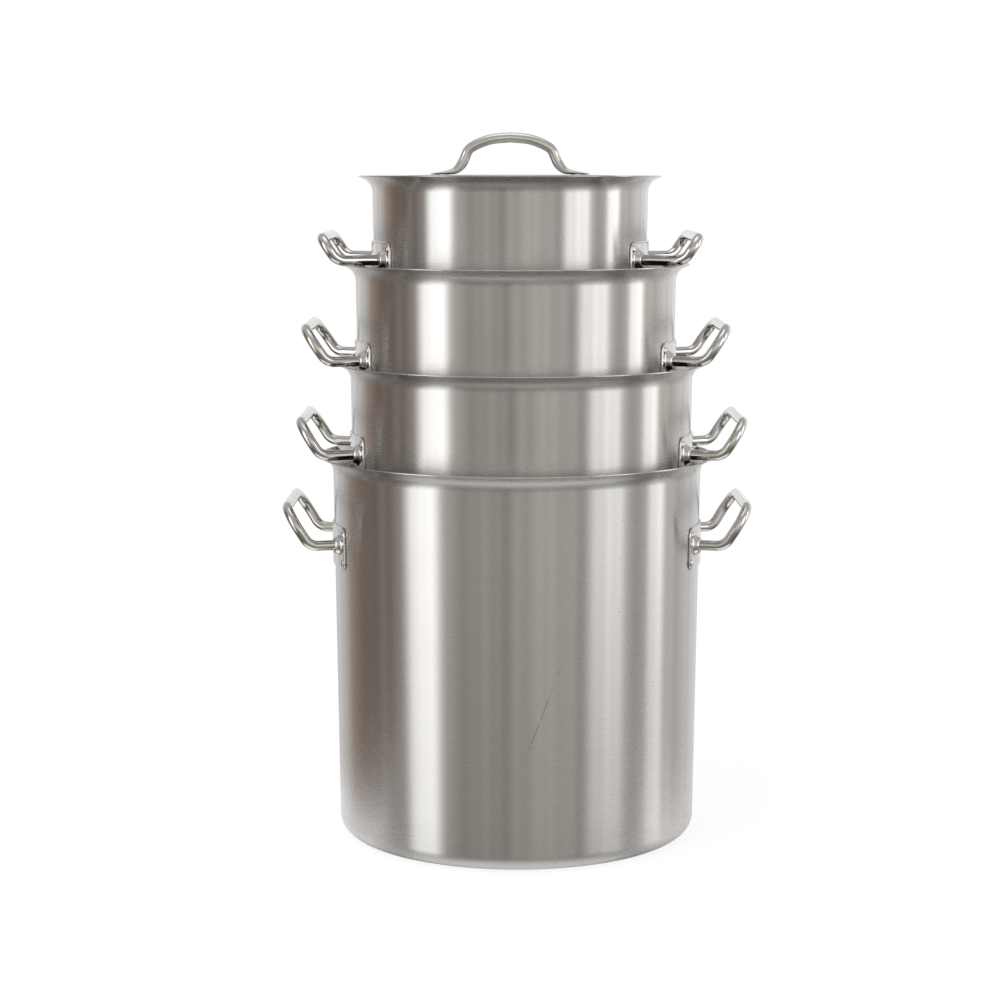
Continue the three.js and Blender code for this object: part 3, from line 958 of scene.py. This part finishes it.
# Soft changes in the room: along height or distance from the axis, from, to, value from, value to
ROOM_FADES = {
    "upper cards": ("height", -0.3, 0.15, 0.0, 1.0),
    "ground": ("height", -1.0, -2.6, 0.0, 1.0),
    "ground light": ("distance", 3.2, 1.8, 0.06, 0.4),
    "ceiling": ("height", 1.4, 2.6, 0.0, 1.0),
    "ceiling light": ("distance", 1.8, 0.2, 0.2, 0.6),
}

# Studio cards: degrees to the right of the camera as the pots see it, light, and tint
CARD_STRENGTH = 2.6
TINTS = {
    "white": (1.0, 1.0, 1.0),
    "warm": (1.0, 0.945, 0.885),
    "green": (1.0, 0.985, 0.89),
    "olive": (1.0, 0.935, 0.79),
    "brown": (1.0, 0.79, 0.66),
    "taupe": (1.0, 0.85, 0.74),
}
UPPER_CARDS = (
    (-180, 0.82, "white"), (-142, 0.85, "white"), (-126, 0.5, "brown"),
    (-112, 0.22, "brown"), (-98, 0.19, "taupe"), (-80, 0.32, "taupe"),
    (-74.5, 0.38, "warm"), (-71, 2.5, "white"), (-51, 2.5, "white"),
    (-47, 0.8, "warm"), (-38, 0.64, "green"), (-5, 0.62, "green"),
    (6, 0.8, "green"), (19, 0.9, "green"), (31, 0.8, "warm"),
    (44, 0.82, "white"), (48.5, 2.5, "white"), (66, 2.5, "white"),
    (70.5, 0.72, "warm"), (84, 0.68, "warm"), (88.5, 2.5, "white"),
    (98.5, 2.5, "white"), (103, 0.95, "warm"), (114, 0.76, "warm"),
    (136, 1.0, "white"), (180, 0.82, "white"),
)
LOWER_CARDS = (
    (-180, 0.8, "white"), (-142, 0.7, "white"), (-128, 0.36, "brown"),
    (-114, 0.24, "brown"), (-98, 0.27, "taupe"), (-80, 0.3, "taupe"),
    (-72, 0.32, "warm"), (-66, 1.6, "white"), (-52, 1.6, "white"),
    (-45, 0.42, "warm"), (-38, 0.3, "olive"), (-6, 0.26, "olive"),
    (6, 0.34, "olive"), (19, 0.42, "olive"), (48, 0.42, "warm"),
    (56, 0.55, "white"), (63, 0.55, "white"), (71, 0.45, "warm"),
    (84, 0.4, "warm"), (93, 0.6, "white"), (100, 0.75, "white"),
    (108, 0.75, "warm"), (120, 0.55, "warm"), (140, 0.8, "white"),
    (180, 0.8, "white"),
)


class STOCKPOTS_OT_stage(Operator):
    """Set the floor, the studio's cards, the light and the camera"""

    bl_idname = "stockpots.stage"
    bl_label = "Studio"

    def execute(self, context):
        stage = context.scene.stockpots.stage
        context.scene.view_settings.view_transform = "Standard"
        self.world(context.scene)
        self.floor()
        self.room(stage)
        self.lamp()
        self.camera(context.scene, stage)
        return {"FINISHED"}

    def world(self, scene):
        """White behind the object and in its reflections, and an even light on the floor."""
        world = bpy.data.worlds.new("white studio")
        add = start_nodes(world)
        rays = add("LightPath").outputs
        seen = rays["Is Camera Ray"]
        for ray in ("Is Glossy Ray", "Is Transmission Ray"):
            seen = add("Math", {0: seen, 1: rays[ray]}, operation="MAXIMUM")
        strength = add("MapRange", {"Value": seen, "To Min": WORLD_ON_FLOOR, "To Max": 1.0})
        white = add("Background", {"Color": WHITE, "Strength": strength})
        add("OutputWorld", {"Surface": white})
        scene.world = world

    def floor(self):
        """White paper that keeps a faint shadow; the steel sees it beside and behind the base."""
        material, add = start_material("white paper sweep")
        rays = add("LightPath").outputs
        place = add("TexCoord").outputs["Object"]
        away = add("VectorMath", {0: place}, operation="LENGTH")
        depth = add("SeparateXYZ", {0: place}).outputs["Y"]
        far, front = [
            add("MapRange", {"Value": value, "From Min": start, "From Max": end})
            for value, (start, end) in ((away, PAPER_ROUND_FADE), (depth, PAPER_FRONT_FADE))
        ]
        past = add("Math", {0: far, 1: front}, operation="MAXIMUM")
        glossy, camera = rays["Is Glossy Ray"], rays["Is Camera Ray"]
        unseen = add("Math", {0: glossy, 1: past}, operation="MULTIPLY")
        share = add("Math", {0: camera, 1: PAPER_GLOW}, operation="MULTIPLY")
        paper = add("BsdfDiffuse", {"Color": PAPER})
        glow = add("Emission", {"Color": WHITE, "Strength": 1.0})
        clear = add("BsdfTransparent")
        lit = add("MixShader", {0: share, 1: paper, 2: glow})
        shown = add("MixShader", {0: unseen, 1: lit, 2: clear})
        add("OutputMaterial", {"Surface": shown})
        corners = ((-1, -1), (1, -1), (1, 1), (-1, 1))
        points = [(x * FLOOR_HALF, y * FLOOR_HALF, -FLOOR_BELOW) for x, y in corners]
        floor = new_piece("floor", points, [(0, 1, 2, 3)], material, smooth=False)

    def room(self, stage):
        """Cards with soft folds and strip lights round the object, which only its steel sees."""
        material, add = start_material("studio cards and strips")
        place = add("TexCoord").outputs["Object"]
        split = add("SeparateXYZ", {0: place}).outputs
        back = add("Math", {0: split["Y"], 1: -1.0}, operation="MULTIPLY")
        turn = add("Math", {0: split["X"], 1: back}, operation="ARCTAN2")
        share = add("Math", {0: turn, 1: 0.5 / pi, 2: 0.5}, operation="MULTIPLY_ADD")
        ripple = add(
            "TexNoise", {"W": share, "Scale": FOLDS_ROUND, "Detail": 1.0}, noise_dimensions="1D"
        ).outputs["Fac"]
        folds = add("MapRange", {"Value": ripple, "To Min": 0.45, "To Max": 1.55})
        level = add("VectorMath", {0: place, 1: (1, 1, 0)}, operation="MULTIPLY")
        away = add("VectorMath", {0: level}, operation="LENGTH")
        measures = {"height": split["Z"], "distance": away}
        fades = {}
        for name, (measure, start, end, low, high) in ROOM_FADES.items():
            span = {"From Min": start, "From Max": end, "To Min": low, "To Max": high}
            fades[name] = add(
                "MapRange", {"Value": measures[measure], **span}, interpolation_type="SMOOTHSTEP"
            )
        upper = self.ramp(add, share, UPPER_CARDS)
        lower = self.ramp(add, share, LOWER_CARDS)
        mixed = {"Factor": fades["upper cards"], "A": lower, "B": upper}
        walls = add("Mix", mixed, data_type="RGBA")
        seen = add("VectorMath", {0: walls, "Scale": folds}, operation="SCALE")
        for part in ("ground", "ceiling"):
            mixed = {"Factor": fades[part], "A": seen, "B": fades[f"{part} light"]}
            seen = add("Mix", mixed, data_type="RGBA")
        glow = add("Emission", {"Color": seen, "Strength": CARD_STRENGTH})
        add("OutputMaterial", {"Surface": glow})
        rings = [(stage.room_radius, z) for z in (ROOM_FLOOR, *ROOM_RINGS, ROOM_CEILING)]
        profile = [(0.0, ROOM_FLOOR), *rings, (0.0, ROOM_CEILING)]
        points, faces = spun(profile, 0.0, ROOM_SEGMENTS)
        room = new_piece("studio_room", points, faces, material, smooth=False)
        for rays in ("camera", "diffuse", "shadow", "transmission"):
            setattr(room, f"visible_{rays}", False)

    def ramp(self, add, share, cards):
        """The cards' colours round the room."""
        ramp = add("ValToRGB", {"Fac": share})
        stops = ramp.color_ramp.elements
        while len(stops) > 1:
            stops.remove(stops[-1])
        for i, (degrees, light, tint) in enumerate(cards):
            position = 0.5 + degrees / 360
            stop = stops[0] if i == 0 else stops.new(position)
            stop.position = position
            stop.color = (*[light * t / CARD_STRENGTH for t in TINTS[tint]], 1.0)
        return ramp

    def lamp(self):
        """One large soft lamp from the upper left for the shadow on the floor."""
        data = bpy.data.lights.new("soft overhead", "AREA")
        data.shape = "DISK"
        data.size = LAMP_SIZE
        data.energy = LAMP_WATTS
        lamp = in_scene("soft overhead", data)
        lamp.location = LAMP_PLACE
        aim = Vector(LAMP_AIM) - Vector(LAMP_PLACE)
        lamp.rotation_euler = aim.to_track_quat("-Z", "Y").to_euler()
        lamp.visible_glossy = False

    def camera(self, scene, stage):
        """The photograph's viewpoint."""
        data = bpy.data.cameras.new("photo camera")
        data.lens = stage.lens
        data.sensor_width = 36.0
        data.clip_end = CAMERA_FAR
        camera = in_scene("photo camera", data)
        camera.location = (-stage.camera_offset, -stage.camera_distance, stage.camera_height)
        camera.rotation_euler = (pi / 2 - stage.camera_pitch, 0.0, 0.0)
        scene.camera = camera


class STOCKPOTS_PT_nest(Panel):
    """The pieces of the nest, in the order in which they are made"""

    bl_idname = "STOCKPOTS_PT_nest"
    bl_label = "Nest of Stockpots"
    bl_space_type = "VIEW_3D"
    bl_region_type = "UI"
    bl_category = "Stockpots"

    def draw(self, context):
        for operator in OPERATORS:
            self.layout.operator(operator.bl_idname, text=operator.bl_label)


OPERATORS = (
    STOCKPOTS_OT_stage,
    STOCKPOTS_OT_shells,
    STOCKPOTS_OT_brackets,
    STOCKPOTS_OT_handles,
    STOCKPOTS_OT_rivets,
    STOCKPOTS_OT_lid,
    STOCKPOTS_OT_lid_handle,
    STOCKPOTS_OT_lid_rivets,
)
CLASSES = (
    STOCKPOTS_PG_shell,
    STOCKPOTS_PG_handle,
    STOCKPOTS_PG_rivet,
    STOCKPOTS_PG_lid,
    STOCKPOTS_PG_pot,
    STOCKPOTS_PG_finish,
    STOCKPOTS_PG_stage,
    STOCKPOTS_PG_nest,
    *OPERATORS,
    STOCKPOTS_PT_nest,
)


def register():
    for cls in CLASSES:
        bpy.utils.register_class(cls)
    bpy.types.Scene.stockpots = PointerProperty(type=STOCKPOTS_PG_nest)


def unregister():
    del bpy.types.Scene.stockpots
    for cls in reversed(CLASSES):
        bpy.utils.unregister_class(cls)


def main():
    register()
    set_pot_sizes(bpy.context.scene.stockpots)
    bpy.ops.stockpots.stage()
    bpy.ops.stockpots.shells()
    bpy.ops.stockpots.brackets()
    bpy.ops.stockpots.handles()
    bpy.ops.stockpots.rivets()
    bpy.ops.stockpots.lid()
    bpy.ops.stockpots.lid_handle()
    bpy.ops.stockpots.lid_rivets()


if __name__ == "__main__":
    main()
